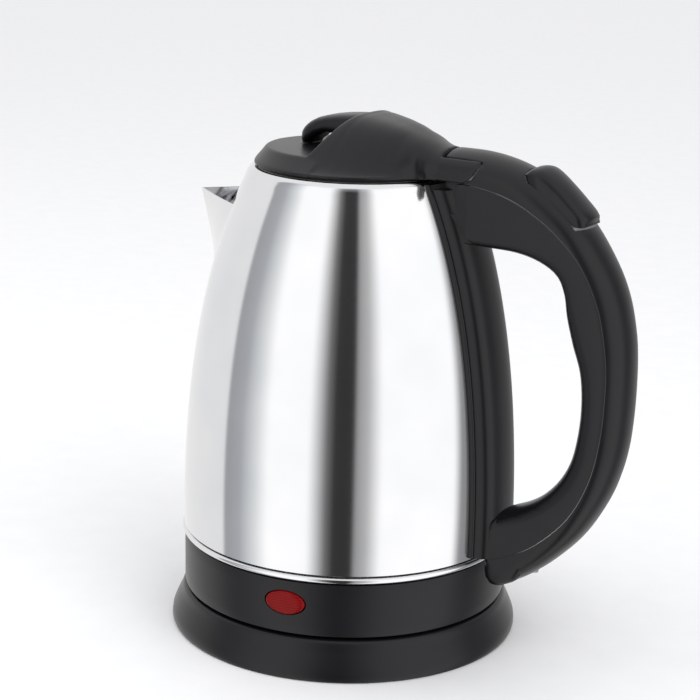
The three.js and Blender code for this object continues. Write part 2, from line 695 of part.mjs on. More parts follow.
// Steam from the vessel trips the switch in the handle's head.
function steamSwitch() {
  const seat = armBottom + 5.2;
  addPiece("steam_switch", box([89, -8, seat], [101, 8, seat + 9]), innerPlastic);
  const disc = cylinder(6, 0, 0.8, 16).rotate([0, 90, 0]).translate([86.6, 0, steamPortZ]);
  addPiece("steam_bimetal", disc, brass);
  const up = bodySide(channelDepth / 2 + 0.6, bodyBottom + 3, armBottom - 0.8, 6);
  [["switch_lead_1", 2.2, wireRed], ["switch_lead_2", -2.2, wireBlue]].forEach(([name, y, colour]) => {
    const route = [[27, 37.4], [50, 37.4], [64, 39.4], [71, 43.4], [75, 45.9], ...up,
      [bodyRadius(armBottom) + 3.6, armBottom + 3.6], [66, armBottom + 7], [77, armBottom + 7.6],
      [88, armBottom + 7.6]];
    addPiece(name, rod(route.map(([x, z]) => [x, y, z]), leadRadius, 26), colour);
  });
}

// ---------------------------------------------------------------- lid

function hull(points) {
  return solid(new ConvexGeometry(points.flatMap(([x, y, z]) => [
    new THREE.Vector3(x, y, z), new THREE.Vector3(x, -y, z),
  ])));
}

// The dome's outside; the same outline moved in by a wall makes its hollow.
function dome(inset) {
  const top = lidBottom + lidDomeHeight - inset;
  const flat = lidBottom + lidEdgeHeight - inset;
  return hull([
    [stepX + inset, 12 - inset, flat - 2], [stepX + 8 + inset, 26 - inset, flat - 2],
    [stepX + 16 + inset, noseHalfWidth - inset, top - 4.5], [5, 12 - inset, top],
    [13, 13 - inset, top], [28, 13 - inset, top - 2.6], [38.5 - inset / 2, 13 - inset, top - 6],
    [47 - inset, headHalfWidth - inset, headTop - inset], [36 - inset, 24 - inset, flat - 2],
    [47 - inset, headHalfWidth - inset, flat - 2], [10, 34 - inset, flat - 2],
    [10, 20 - inset, top - 6],
  ]);
}

function lid() {
  const edge = lidBottom + 1.2;
  const flat = lidBottom + lidEdgeHeight;
  const plate = turned([
    [0, lidBottom], [lidRadius - 0.6, lidBottom], [lidRadius, lidBottom + 0.6], [lidRadius, edge],
    [lidRadius - 0.8, edge + 1.6], [lidFlatRadius + 0.6, flat - 0.5], [lidFlatRadius - 1, flat],
    [0, flat],
  ]);
  const nose = slab([
    [noseTipX, below(-10.3)], [noseTipX + 2, below(-13.3)], [noseTipX + 5.5, below(-17.3)],
    [-16.9, below(-20.3)], [-7.5, below(-22.5)], [4, lidBottom + lidDomeHeight],
    [4, below(-11.3)], [-12, below(-5.9)], [-21, below(-5.7)], [-25.6, below(-6.7)],
  ], noseHalfWidth);
  const arm = box([30, -headHalfWidth, lidBottom + 0.6], [hingeX, headHalfWidth, headTop])
    .add(crossPin(earRadius, headHalfWidth, hingeX, hingeZ, 32))
    .intersect(box([20, -20, below(12)], [90, 20, headTop]));
  const tongueRoom = crossPin(earRadius, tongueHalfWidth + GAP, hingeX, hingeZ, 32)
    .add(box([hingeX - 2, -tongueHalfWidth - GAP, below(12)], [90, tongueHalfWidth + GAP, below(-28)]));
  const hollow = turned([
    [0, lidBottom - 1], [lidRadius - lidWall, lidBottom - 1], [lidRadius - lidWall, lidBottom + 2],
    [lidFlatRadius - lidWall, flat - lidWall], [0, flat - lidWall],
  ]);
  const screws = [1, -1].map((side) => [-8, 28 * side]);
  const plugFloor = lidBottom - plugDrop;
  let cover = plate.add(dome(0)).add(nose).add(arm).subtract(hollow).subtract(dome(lidWall))
    .subtract(tongueRoom).subtract(crossPin(hingePinRadius + GAP, 30, hingeX, hingeZ, 16));
  let plug = turned([
    [0, plugFloor], [plugRadius - 1, plugFloor], [plugRadius, plugFloor + 1],
    [plugRadius, lidBottom + 0.3], [plugRadius + 1, lidBottom + 0.3], [plugRadius + 1, lidBottom + 1.8],
    [plugRadius - 2, lidBottom + 1.8], [plugRadius - 2, plugFloor + 2], [0, plugFloor + 2],
  ]);
  screws.forEach(([x, y], i) => {
    const at = (shape) => shape.translate([x, y, 0]);
    cover = cover.add(at(cylinder(screwRadius + 2, plugFloor + 2 + GAP, flat - 1, 12)))
      .subtract(at(cylinder(screwRadius + GAP, 0, flat - lidWall - 1, 12)));
    plug = plug.subtract(at(cylinder(screwRadius + GAP, 0, flat, 12)));
    addPiece("lid_screw_" + (i + 1), screw(12).translate([x, y, plugFloor - 2 - GAP]), steel);
  });
  addPiece("lid_cover", biggest(cover), blackPlastic);
  addPiece("lid_inner", plug, innerPlastic);
  const gasketTop = lidBottom - 0.8;
  addPiece("lid_gasket", turned([
    [plugRadius + GAP, gasketTop - 3], [plugRadius + 1.2, gasketTop - 3],
    [mouthRadius - 0.5, gasketTop - 0.6], [mouthRadius - 0.6, gasketTop], [plugRadius + GAP, gasketTop],
  ]), silicone);
}

powerBase();
baseSocket();
kettleConnector();
bottomHousing();
steelVessel();
heater();
spine();
handle();
steamSwitch();
rocker();
lid();

export default kettle;
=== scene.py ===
"""Cordless electric kettle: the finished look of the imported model."""

import json
import math

import bmesh
import bpy
from mathutils import Matrix, Vector


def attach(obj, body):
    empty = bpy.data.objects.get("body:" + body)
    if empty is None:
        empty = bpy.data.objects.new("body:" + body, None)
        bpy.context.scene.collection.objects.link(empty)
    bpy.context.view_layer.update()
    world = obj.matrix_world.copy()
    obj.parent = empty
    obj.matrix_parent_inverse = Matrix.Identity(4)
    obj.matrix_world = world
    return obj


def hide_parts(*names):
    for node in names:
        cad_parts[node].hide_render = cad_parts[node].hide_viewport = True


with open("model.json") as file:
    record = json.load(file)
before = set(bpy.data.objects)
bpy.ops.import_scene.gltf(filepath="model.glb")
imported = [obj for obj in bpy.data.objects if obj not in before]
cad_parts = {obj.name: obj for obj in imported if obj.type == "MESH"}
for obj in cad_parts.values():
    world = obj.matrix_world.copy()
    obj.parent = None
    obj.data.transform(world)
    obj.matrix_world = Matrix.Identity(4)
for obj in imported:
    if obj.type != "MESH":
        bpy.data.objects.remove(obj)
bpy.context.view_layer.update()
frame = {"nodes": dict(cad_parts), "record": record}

MM = 0.001


# ---------------------------------------------------------------- camera, light and floor

VIEW_TURN = math.radians(32)
VIEW_FAR = 0.85
VIEW_HEIGHT = 0.3577
VIEW_DOWN = math.radians(15.14)
VIEW_ROLL = math.radians(1.5)


def set_camera():
    """The camera stands higher than the lid, round to the side of the handle, and looks down a
    little. The plain view transform keeps the floor and the steel's highlights white."""
    bpy.context.scene.view_settings.view_transform = "Standard"
    bpy.ops.object.camera_add()
    camera = bpy.context.object
    camera.name = "camera"
    camera.data.sensor_width = 36
    camera.data.lens = 99.9
    place = Vector((VIEW_FAR * math.sin(VIEW_TURN), -VIEW_FAR * math.cos(VIEW_TURN), VIEW_HEIGHT))
    turn = Matrix.Rotation(VIEW_TURN, 4, "Z")
    tip = Matrix.Rotation(math.pi / 2 - VIEW_DOWN, 4, "X")
    roll = Matrix.Rotation(VIEW_ROLL, 4, "Z")
    camera.matrix_world = Matrix.Translation(place) @ turn @ tip @ roll
    bpy.context.scene.camera = camera


def add_node(tree, kind, settings=None, links=None):
    """One shader node, its settings by name, and what feeds its sockets."""
    node = tree.nodes.new(kind)
    for name, value in (settings or {}).items():
        if name in node.inputs:
            node.inputs[name].default_value = value
        else:
            setattr(node, name, value)
    for socket, source in (links or {}).items():
        tree.links.new(source, node.inputs[socket])
    return node


def paint(hex_code):
    """sRGB hex to linear colour."""
    channels = [int(hex_code[i:i + 2], 16) / 255 for i in (0, 2, 4)]
    return tuple(c / 12.92 if c <= 0.04045 else ((c + 0.055) / 1.055) ** 2.4 for c in channels) + (1.0,)


def set_stops(ramp, stops):
    """Colour ramp stops: (position, hex)."""
    points = ramp.color_ramp.elements
    while len(points) < len(stops):
        points.new(0.5)
    for point, (position, shade) in zip(points, stops):
        point.position = position
        point.color = paint(shade)


def studio_light():
    """Two white tents with a dark slot between them, as bare steel needs to show its form. The
    ramp runs once round the kettle, and overhead it gives way to one plain pale tone."""
    world = bpy.data.worlds.new("studio")
    bpy.context.scene.world = world
    world.use_nodes = True
    tree = world.node_tree
    tree.nodes.clear()
    where = add_node(tree, "ShaderNodeTexCoord")
    axes = add_node(tree, "ShaderNodeSeparateXYZ", links={0: where.outputs["Generated"]})
    # turned so that the middle of the ramp is the side that the kettle is seen from
    toward_x = math.cos(VIEW_TURN - math.pi / 2)
    toward_y = math.sin(VIEW_TURN - math.pi / 2)
    spin = add_node(tree, "ShaderNodeVectorRotate",
                    {"rotation_type": "Z_AXIS", "Angle": -math.atan2(toward_y, toward_x)},
                    {"Vector": where.outputs["Generated"]})
    facing = add_node(tree, "ShaderNodeSeparateXYZ", links={0: spin.outputs[0]})
    angle = add_node(tree, "ShaderNodeMath", {"operation": "ARCTAN2"},
                     {0: facing.outputs["Y"], 1: facing.outputs["X"]})
    share = add_node(tree, "ShaderNodeMapRange",
                     {"From Min": -math.pi, "From Max": math.pi, "To Min": 0.0, "To Max": 1.0},
                     {"Value": angle.outputs[0]})
    tents = add_node(tree, "ShaderNodeValToRGB", links={"Fac": share.outputs[0]})
    set_stops(tents, [
        (0.0, "dcdcdc"), (0.236, "e0e0e0"), (0.240, "98999c"), (0.28, "a4a6aa"), (0.318, "d8dadb"),
        (0.345, "ffffff"), (0.425, "ffffff"), (0.446, "bababa"), (0.460, "6e6e6e"), (0.476, "333333"),
        (0.511, "303030"), (0.518, "949494"), (0.540, "b4b4b4"), (0.568, "ffffff"), (0.722, "ffffff"),
        (0.742, "8c8c8e"), (0.78, "77787a"), (0.86, "c4c4c5"), (1.0, "dcdcdc"),
    ])
    height = add_node(tree, "ShaderNodeValToRGB", links={"Fac": axes.outputs["Z"]})
    set_stops(height, [(0.0, "000000"), (0.62, "000000"), (0.86, "ffffff")])
    over = add_node(tree, "ShaderNodeMix", {"data_type": "RGBA"}, {
        0: height.outputs["Color"], 6: tents.outputs["Color"]})
    over.inputs[7].default_value = paint("e6e7e8")
    bright = add_node(tree, "ShaderNodeBackground", {"Strength": 1.3}, {"Color": over.outputs[2]})
    plain = add_node(tree, "ShaderNodeBackground", {"Strength": 1.0})
    plain.inputs["Color"].default_value = paint("f4f4f5")
    path = add_node(tree, "ShaderNodeLightPath")
    choose = add_node(tree, "ShaderNodeMixShader", links={
        0: path.outputs["Is Camera Ray"], 1: bright.outputs[0], 2: plain.outputs[0]})
    add_node(tree, "ShaderNodeOutputWorld", links={"Surface": choose.outputs[0]})


LAMP_AIM = Vector((0, 0, 0.1))
TENT_SIDE = 0.9


def soft_lamp(name, place, power):
    """A square of soft light, seen neither by the camera nor in the steel."""
    bpy.ops.object.light_add(type="AREA", location=place)
    lamp = bpy.context.object
    lamp.name = name
    lamp.data.shape = "RECTANGLE"
    lamp.data.size = lamp.data.size_y = TENT_SIDE
    lamp.data.energy = power
    lamp.rotation_euler = (LAMP_AIM - Vector(place)).to_track_quat("-Z", "Y").to_euler()
    lamp.visible_camera = False
    lamp.visible_glossy = False


# ---------------------------------------------------------------- finishes

def surface(name):
    """A new material and its empty node tree."""
    material = bpy.data.materials.new(name)
    material.use_nodes = True
    tree = material.node_tree
    tree.nodes.clear()
    return material, tree


def finish_with(tree, shader, bump=None):
    """Joins the shader, and its bump where it has one, to the material's output."""
    if bump is not None:
        tree.links.new(bump, shader.inputs["Normal"])
    add_node(tree, "ShaderNodeOutputMaterial", links={"Surface": shader.outputs[0]})


def polished_steel():
    """18/0 stainless sheet, spun and polished: a clear mirror, blurred a little by the belt's
    fine lines, which run round the vessel about 0.6 mm apart, coarser than real so that they show."""
    material, tree = surface("polished_stainless_sheet")
    where = add_node(tree, "ShaderNodeTexCoord")
    stretch = add_node(tree, "ShaderNodeMapping", {"Scale": (30, 30, 1600)},
                       {"Vector": where.outputs["Object"]})
    lines = add_node(tree, "ShaderNodeTexNoise", {"Scale": 1.0, "Detail": 3.0},
                     {"Vector": stretch.outputs[0]})
    clouds = add_node(tree, "ShaderNodeTexNoise", {"Scale": 28.0, "Detail": 2.0},
                      {"Vector": where.outputs["Object"]})
    rough = add_node(tree, "ShaderNodeMapRange", {"To Min": 0.07, "To Max": 0.13},
                     {"Value": lines.outputs["Fac"]})
    tint = add_node(tree, "ShaderNodeValToRGB", links={"Fac": clouds.outputs["Fac"]})
    set_stops(tint, [(0.3, "dddee0"), (0.7, "e4e4e5")])
    bump = add_node(tree, "ShaderNodeBump", {"Strength": 0.02, "Distance": 0.0002},
                    {"Height": lines.outputs["Fac"]})
    shader = add_node(tree, "ShaderNodeBsdfPrincipled", {"Metallic": 1.0}, {
        "Base Color": tint.outputs["Color"], "Roughness": rough.outputs[0]})
    finish_with(tree, shader, bump.outputs[0])
    return material


def metal(name, shades, rough_low, rough_high, grain_mm):
    """A bare metal whose rolling or machining shows as a fine grain."""
    material, tree = surface(name)
    where = add_node(tree, "ShaderNodeTexCoord")
    grain = add_node(tree, "ShaderNodeTexNoise", {"Scale": 1000 / grain_mm, "Detail": 3.0},
                     {"Vector": where.outputs["Object"]})
    tint = add_node(tree, "ShaderNodeValToRGB", links={"Fac": grain.outputs["Fac"]})
    set_stops(tint, [(0.35, shades[0]), (0.65, shades[1])])
    rough = add_node(tree, "ShaderNodeMapRange", {"To Min": rough_low, "To Max": rough_high},
                     {"Value": grain.outputs["Fac"]})
    bump = add_node(tree, "ShaderNodeBump", {"Strength": 0.1, "Distance": 0.0001},
                    {"Height": grain.outputs["Fac"]})
    shader = add_node(tree, "ShaderNodeBsdfPrincipled", {"Metallic": 1.0}, {
        "Base Color": tint.outputs["Color"], "Roughness": rough.outputs[0]})
    finish_with(tree, shader, bump.outputs[0])
    return material


def moulded(name, shades, roughness, ior=1.5, grain_mm=0.5, depth=0.12, specular=0.5):
    """An injection-moulded plastic or rubber: the tool's fine spark-eroded grain breaks up the
    shine, and the colour drifts a little from flow and handling."""
    material, tree = surface(name)
    where = add_node(tree, "ShaderNodeTexCoord")
    grain = add_node(tree, "ShaderNodeTexNoise", {"Scale": 1000 / grain_mm, "Detail": 2.0},
                     {"Vector": where.outputs["Object"]})
    flow = add_node(tree, "ShaderNodeTexNoise", {"Scale": 22.0, "Detail": 3.0},
                    {"Vector": where.outputs["Object"]})
    tint = add_node(tree, "ShaderNodeValToRGB", links={"Fac": flow.outputs["Fac"]})
    set_stops(tint, [(0.3, shades[0]), (0.7, shades[1])])
    rough = add_node(tree, "ShaderNodeMapRange", {"To Min": roughness - 0.04, "To Max": roughness + 0.05},
                     {"Value": flow.outputs["Fac"]})
    bump = add_node(tree, "ShaderNodeBump", {"Strength": depth, "Distance": 0.0001},
                    {"Height": grain.outputs["Fac"]})
    shader = add_node(tree, "ShaderNodeBsdfPrincipled", {"IOR": ior, "Specular IOR Level": specular}, {
        "Base Color": tint.outputs["Color"], "Roughness": rough.outputs[0]})
    finish_with(tree, shader, bump.outputs[0])
    return material


def red_lens():
    """Transparent red polycarbonate, polished outside and ribbed inside: deep red with a clear shine."""
    material, tree = surface("red_polycarbonate_lens")
    where = add_node(tree, "ShaderNodeTexCoord")
    ribs = add_node(tree, "ShaderNodeTexWave", {"Scale": 260.0, "bands_direction": "Z"},
                    {"Vector": where.outputs["Object"]})
    tint = add_node(tree, "ShaderNodeValToRGB", links={"Fac": ribs.outputs["Fac"]})
    set_stops(tint, [(0.0, "6e0204"), (1.0, "800407")])
    shader = add_node(tree, "ShaderNodeBsdfPrincipled",
                      {"IOR": 1.58, "Roughness": 0.26, "Specular IOR Level": 0.12, "Subsurface Weight": 0.1,
                       "Subsurface Radius": (0.003, 0.001, 0.001)},
                      {"Base Color": tint.outputs["Color"]})
    finish_with(tree, shader)
    return material


def pale_floor():
    """Matt painted board under the kettle."""
    material, tree = surface("matt_painted_board")
    where = add_node(tree, "ShaderNodeTexCoord")
    fleck = add_node(tree, "ShaderNodeTexNoise", {"Scale": 60.0, "Detail": 2.0},
                     {"Vector": where.outputs["Object"]})
    tint = add_node(tree, "ShaderNodeValToRGB", links={"Fac": fleck.outputs["Fac"]})
    set_stops(tint, [(0.3, "f3f3f4"), (0.7, "f5f5f6")])
    shader = add_node(tree, "ShaderNodeBsdfPrincipled", {"Roughness": 0.9, "Specular IOR Level": 0.1},
                      {"Base Color": tint.outputs["Color"]})
    finish_with(tree, shader)
    return material


# ---------------------------------------------------------------- shaping by hand

def let_go():
    """Back to object mode with nothing selected."""
    if bpy.context.object and bpy.context.object.mode != "OBJECT":
        bpy.ops.object.mode_set(mode="OBJECT")
    bpy.ops.object.select_all(action="DESELECT")


def take(piece):
    """Selects one piece alone."""
    let_go()
    piece.select_set(True)
    bpy.context.view_layer.objects.active = piece


def apply(piece, kind, **settings):
    """Adds one modifier and applies it."""
    take(piece)
    step = piece.modifiers.new(kind.lower(), kind)
    for name, value in settings.items():
        setattr(step, name, value)
    bpy.ops.object.modifier_apply(modifier=step.name)


def smooth(piece, degrees=35):
    """Smooth shading, with edges sharper than this left crisp."""
    take(piece)
    bpy.ops.object.shade_smooth_by_angle(angle=math.radians(degrees))


def drawn_out(name, loops):
    """A ring of edges drawn out from loop to loop and closed at both ends. Each loop is a list of
    points in millimetres."""
    let_go()
    bpy.ops.mesh.primitive_circle_add(vertices=len(loops[0]), radius=0.01, location=(0, 0, 0))
    piece = bpy.context.object
    piece.name = piece.data.name = name
    bpy.ops.object.mode_set(mode="EDIT")
    bpy.ops.mesh.select_all(action="SELECT")
    mesh = bmesh.from_edit_mesh(piece.data)
    ring = {}
    for k, vertex in enumerate(mesh.verts):
        vertex.co = Vector(loops[0][k]) * MM
        ring[vertex.index] = k
    first = list(ring)
    for loop in loops[1:]:
        bpy.ops.mesh.extrude_region_move(TRANSFORM_OT_translate={"value": (0, 0, 0)})
        mesh = bmesh.from_edit_mesh(piece.data)
        mesh.verts.index_update()
        drawn = {}
        for vertex in mesh.verts:
            if vertex.select:
                for edge in vertex.link_edges:
                    behind = edge.other_vert(vertex)
                    if not behind.select:
                        drawn[vertex.index] = ring[behind.index]
        mesh.verts.ensure_lookup_table()
        for index, k in drawn.items():
            mesh.verts[index].co = Vector(loop[k]) * MM
        ring = drawn
    bpy.ops.mesh.edge_face_add()
    bpy.ops.mesh.select_all(action="DESELECT")
    mesh = bmesh.from_edit_mesh(piece.data)
    mesh.verts.ensure_lookup_table()
    for index in first:
        mesh.verts[index].select = True
    mesh.select_flush_mode()
    bpy.ops.mesh.edge_face_add()
    tidy_mesh(piece)
    return piece


def tidy_mesh(piece, apart=0.02 * MM):
    """Merges doubled points and turns every face outwards."""
    take(piece)
    bpy.ops.object.mode_set(mode="EDIT")
    bpy.ops.mesh.select_all(action="SELECT")
    bpy.ops.mesh.remove_doubles(threshold=apart)
    bpy.ops.mesh.normals_make_consistent(inside=False)
    bpy.ops.object.mode_set(mode="OBJECT")


ON_AXIS = 0.004  # a ring this small is as good as a point
SIDES = 160
TOOL_SIDES = 96


def turned(name, profile, sides=SIDES):
    """A round piece: a circle extruded up and drawn in or out, ring by ring. A closed profile
    repeats its first point; one that ends on the axis is gathered to a point there."""
    let_go()
    radius, height = profile[0]
    bpy.ops.mesh.primitive_circle_add(vertices=sides, radius=max(radius, ON_AXIS) * MM,
                                      location=(0, 0, height * MM))
    piece = bpy.context.object
    piece.name = piece.data.name = name
    bpy.ops.object.transform_apply()
    bpy.ops.object.mode_set(mode="EDIT")
    bpy.ops.mesh.select_all(action="SELECT")
    for (r, z), (next_r, next_z) in zip(profile, profile[1:]):
        bpy.ops.mesh.extrude_region_move(TRANSFORM_OT_translate={"value": (0, 0, (next_z - z) * MM)})
        grow = max(next_r, ON_AXIS) / max(r, ON_AXIS)
        bpy.ops.transform.resize(value=(grow, grow, 1), center_override=(0, 0, next_z * MM))
    tidy_mesh(piece)
    return piece


def slab(name, outline, half_width, bevel=0.0, steps=3):
    """An outline in the plane of the handle, pulled out to both sides, edges softened."""
    loops = [[(x, side * half_width, z) for x, z in outline] for side in (-1, 1)]
    piece = drawn_out(name, loops)
    if bevel:
        apply(piece, "BEVEL", width=bevel * MM, segments=steps, limit_method="ANGLE",
              angle_limit=math.radians(40))
    return piece


def carve(piece, tool, operation="DIFFERENCE"):
    """Cuts the piece with a tool, which is used up; the tool may also be added or kept in common."""
    apply(piece, "BOOLEAN", object=tool, operation=operation, solver="EXACT")
    bpy.data.objects.remove(tool)
    tidy_mesh(piece, 0.01 * MM)


def block(name, low, high):
    """A plain block between two corners, for cutting with."""
    (x0, y0, z0), (x1, y1, z1) = low, high
    loops = [[(x0, y0, z), (x1, y0, z), (x1, y1, z), (x0, y1, z)] for z in (z0, z1)]
    return drawn_out(name, loops)


def between(points, position):
    """Value at a position on straight lines through (position, value) pairs."""
    for (a, va), (b, vb) in zip(points, points[1:]):
        if position <= b:
            t = min(max((position - a) / (b - a), 0), 1)
            return va + (vb - va) * t
    return points[-1][1]


def through(points, count):
    """Points evenly spread along a smooth curve through the given ones (Catmull-Rom)."""
    fine = 12
    dense = []
    padded = [points[0], *points, points[-1]]
    for a, b, c, d in zip(padded, padded[1:], padded[2:], padded[3:]):
        for step in range(fine):
            t = step / fine
            dense.append(tuple(
                0.5 * (2 * q + (r - p) * t + (2 * p - 5 * q + 4 * r - s) * t * t
                       + (3 * q - p - 3 * r + s) * t ** 3)
                for p, q, r, s in zip(a, b, c, d)))
    dense.append(tuple(points[-1]))
    run = [0.0]
    for p, q in zip(dense, dense[1:]):
        run.append(run[-1] + math.dist(p, q))
    spread = []
    k = 0
    for i in range(count + 1):
        want = run[-1] * i / count
        while k < len(run) - 2 and run[k + 1] < want:
            k += 1
        t = (want - run[k]) / max(run[k + 1] - run[k], 1e-9)
        spread.append(tuple(p + (q - p) * t for p, q in zip(dense[k], dense[k + 1])))
    return spread


def belongs(piece, material, body, slot, *nodes):
    """Its finish, the body that it moves with and the solids that it stands for."""
    piece.data.materials.clear()
    piece.data.materials.append(material)
    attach(piece, body)
    if nodes:
        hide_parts(*nodes)


# ---------------------------------------------------------------- vessel

STEEL_WALL = 0.8
BODY_LOW = 47.5
BODY_HIGH = 210.9
BODY_CURVE = [(74.5, 47.5), (75.1, 110.4), (68.0, 165.1), (46.8, 210.9)]


def body_point(t):
    """A point (radius, height) on the vessel's flank, from its foot at 0 to its mouth at 1."""
    weights = ((1 - t) ** 3, 3 * t * (1 - t) ** 2, 3 * t * t * (1 - t), t ** 3)
    return tuple(sum(w * p[axis] for w, p in zip(weights, BODY_CURVE)) for axis in (0, 1))


def body_radius(z):
    """The flank's radius at a height, found by halving."""
    low, high = 0.0, 1.0
    for _ in range(26):
        middle = (low + high) / 2
        if body_point(middle)[1] < z:
            low = middle
        else:
            high = middle
    return body_point(low)[0]


def vessel():
    """The steel wall, with its hemmed foot, its rolled lip and the mouth cut for the spout."""
    rings = 44
    outside = [body_point(i / rings) for i in range(rings + 1)]
    outside = [(73.9, 47.35), (74.35, 47.45)] + outside[:-1]
    lip = [(47.35, 210.1), (46.9, 210.8), (46.3, 211.4), (45.5, 211.9), (44.6, 212.2), (43.7, 212.1),
           (43.2, 211.6), (43.1, 210.6)]
    inside = [(r - STEEL_WALL, z) for r, z in reversed(outside[2:-2])]
    profile = outside + lip + inside + [(73.5, 47.4), outside[0]]
    steel = turned("vessel_wall", profile)
    mouth = slab("tool_mouth", [(-90, 160), (-90, 189.5), (-30, 189.5), (-30, 160)], 17)
    carve(steel, mouth)
    smooth(steel, 30)
    return steel


SPOUT_FOOT = 146
SPOUT_RISE = 46.6
SPOUT_WALL = 0.8
BEAK_ROUND = 1.3
SPOUT_TURNS = [0, 0.6, 1.3, 2, 2.8, 3.8, 5, 6.5, 8.5, 11, 14, 17, 20, 23, 26, 29, 32, 35, 37, 38.5, 40, 42,
               45, 48]


def spout_radius(turn, z):
    """How far the beak's skin stands from the axis at a turn from the spout's middle."""
    reach = between([(146, 66.4), (152, 69.6), (158, 73.4), (164, 76.4), (172, 78.6), (180, 80.6),
                     (187, 82.4), (193.4, 84.3)], z)
    half = math.radians(between([(146, 10), (156, 17), (166, 25), (176, 32), (186, 36.5), (196, 39)], z))
    r = body_radius(z)
    corner_x, corner_y = r * math.cos(half), r * math.sin(half)
    turn = abs(turn)
    line = reach * corner_y / max(corner_y * math.cos(turn) + (reach - corner_x) * math.sin(turn), 1e-6)
    if turn > half:
        line = r - (turn - half) * r * 1.1
    # a tight round on the beak's edge and a soft hollow where it meets the vessel
    bend = math.sqrt(1 + (turn * reach / BEAK_ROUND) ** 2) - 1
    round_off = reach - 0.55 * BEAK_ROUND * bend
    line = min(line, round_off) if turn * reach < 3 else line
    soft = between([(146, 3.2), (162, 2.2), (172, 1.0), (180, 0.4), (196, 0.25)], z)
    gap = line - r
    lifted = r + 0.5 * (gap + math.sqrt(gap * gap + soft * soft))
    # sunk a hair, so that its thin edge ends inside the vessel's wall
    return lifted - 0.08 * soft - 0.12


def spout():
    """The folded V of sheet on the vessel's front, its rim a little higher at the roots."""
    turns = [math.radians(-a) for a in reversed(SPOUT_TURNS[1:])] + [math.radians(a) for a in SPOUT_TURNS]
    rings = 26
    loops = []
    for i in range(rings + 1):
        lift = i / rings
        level = SPOUT_FOOT + SPOUT_RISE * lift
        loop = []
        for turn in turns:
            z = level + lift * 1.7 * min(abs(turn) / math.radians(40), 1)
            r = spout_radius(turn, z)
            loop.append((-r * math.cos(turn), r * math.sin(turn), z))
        inner = []
        for x, y, z in reversed(loop):
            share = 1 - SPOUT_WALL / math.hypot(x, y)
            inner.append((x * share, y * share, z))
        loops.append(loop + inner)
    beak = drawn_out("spout_beak", loops)
    smooth(beak, 45)
    return beak


def trim_ring():
    """Rolled bead between the steel and the band."""
    arc = [(73.2 + 2.05 * math.sin(math.radians(a)), 45.15 - 1.55 * math.cos(math.radians(a)))
           for a in range(0, 181, 15)]
    profile = [(72.2, 43.6)] + arc + [(72.2, 46.7), (72.2, 43.6)]
    ring = turned("bottom_trim_ring_bead", profile)
    smooth(ring, 40)
    return ring


# ---------------------------------------------------------------- band, lamp and base

BAND_RADIUS = 74.05
LAMP_TURN = math.radians(-78)
LAMP_HEIGHT = 33.0
LAMP_SIZE = (9.2, 5.4)


def bottom_band():
    """The moulded band under the steel, with a shelf for the ring above and a hole for the lamp."""
    profile = [(71.8, 19.1), (73.2, 18.95), (73.75, 19.2), (73.95, 19.9), (74.0, 24), (74.1, 38),
               (74.0, 42.2), (73.8, 42.9), (73.2, 43.25), (67.8, 43.3), (67.8, 41.3), (71.8, 41.3),
               (71.8, 19.1)]
    band = turned("bottom_band", profile)
    hole = lamp_shape("tool_lamp", [(1.05, -8), (1.05, 6)])
    carve(band, hole)
    smooth(band, 30)
    return band


def lamp_shape(name, steps):
    """Oval rings from back to front, bent round the band: (share of full size, how far proud)."""
    sides = 48
    wide, tall = LAMP_SIZE
    loops = []
    for share, proud in steps:
        loop = []
        for k in range(sides):
            a = 2 * math.pi * k / sides
            across, up = wide * share * math.cos(a), tall * share * math.sin(a)
            out = math.sqrt(BAND_RADIUS ** 2 - across ** 2) + proud
            loop.append((out * math.cos(LAMP_TURN) - across * math.sin(LAMP_TURN),
                         out * math.sin(LAMP_TURN) + across * math.cos(LAMP_TURN), LAMP_HEIGHT + up))
        loops.append(loop)
    return drawn_out(name, loops)


def lamp():
    """The lens: a low dome with a rounded edge, let into the band."""
    lens = lamp_shape("lamp_lens_dome", [(0.96, -3.5), (0.98, -0.2), (0.97, 0.3), (0.93, 0.62),
                                         (0.85, 0.86), (0.7, 1.0), (0.4, 1.08), (0.1, 1.1)])
    smooth(lens, 50)
    return lens


def power_base():
    """The base's hollow shell: flared skirt, flat top and the collar round the socket."""
    skirt = through([(79.3, 0.35), (79.65, 1.2), (79.75, 2.6), (79.35, 5.2), (77.6, 9.4), (75.8, 13.2),
                     (74.85, 15.9)], 22)
    profile = [(77.3, 4.2), (77.4, 0.9), (78.2, 0.35)] + skirt + [
        (74.35, 16.9), (73.6, 17.45), (72.4, 17.6), (24.0, 17.6), (21.8, 17.9), (21.0, 18.9), (20.2, 28.6),
        (19.6, 29.4), (18.6, 29.6), (17.6, 29.5), (17.3, 29.0), (17.3, 15.4), (71.0, 15.4), (75.6, 7.0),
        (77.3, 4.2)]
    base = turned("base_skirt", profile)
    smooth(base, 30)
    return base


# ---------------------------------------------------------------- handle

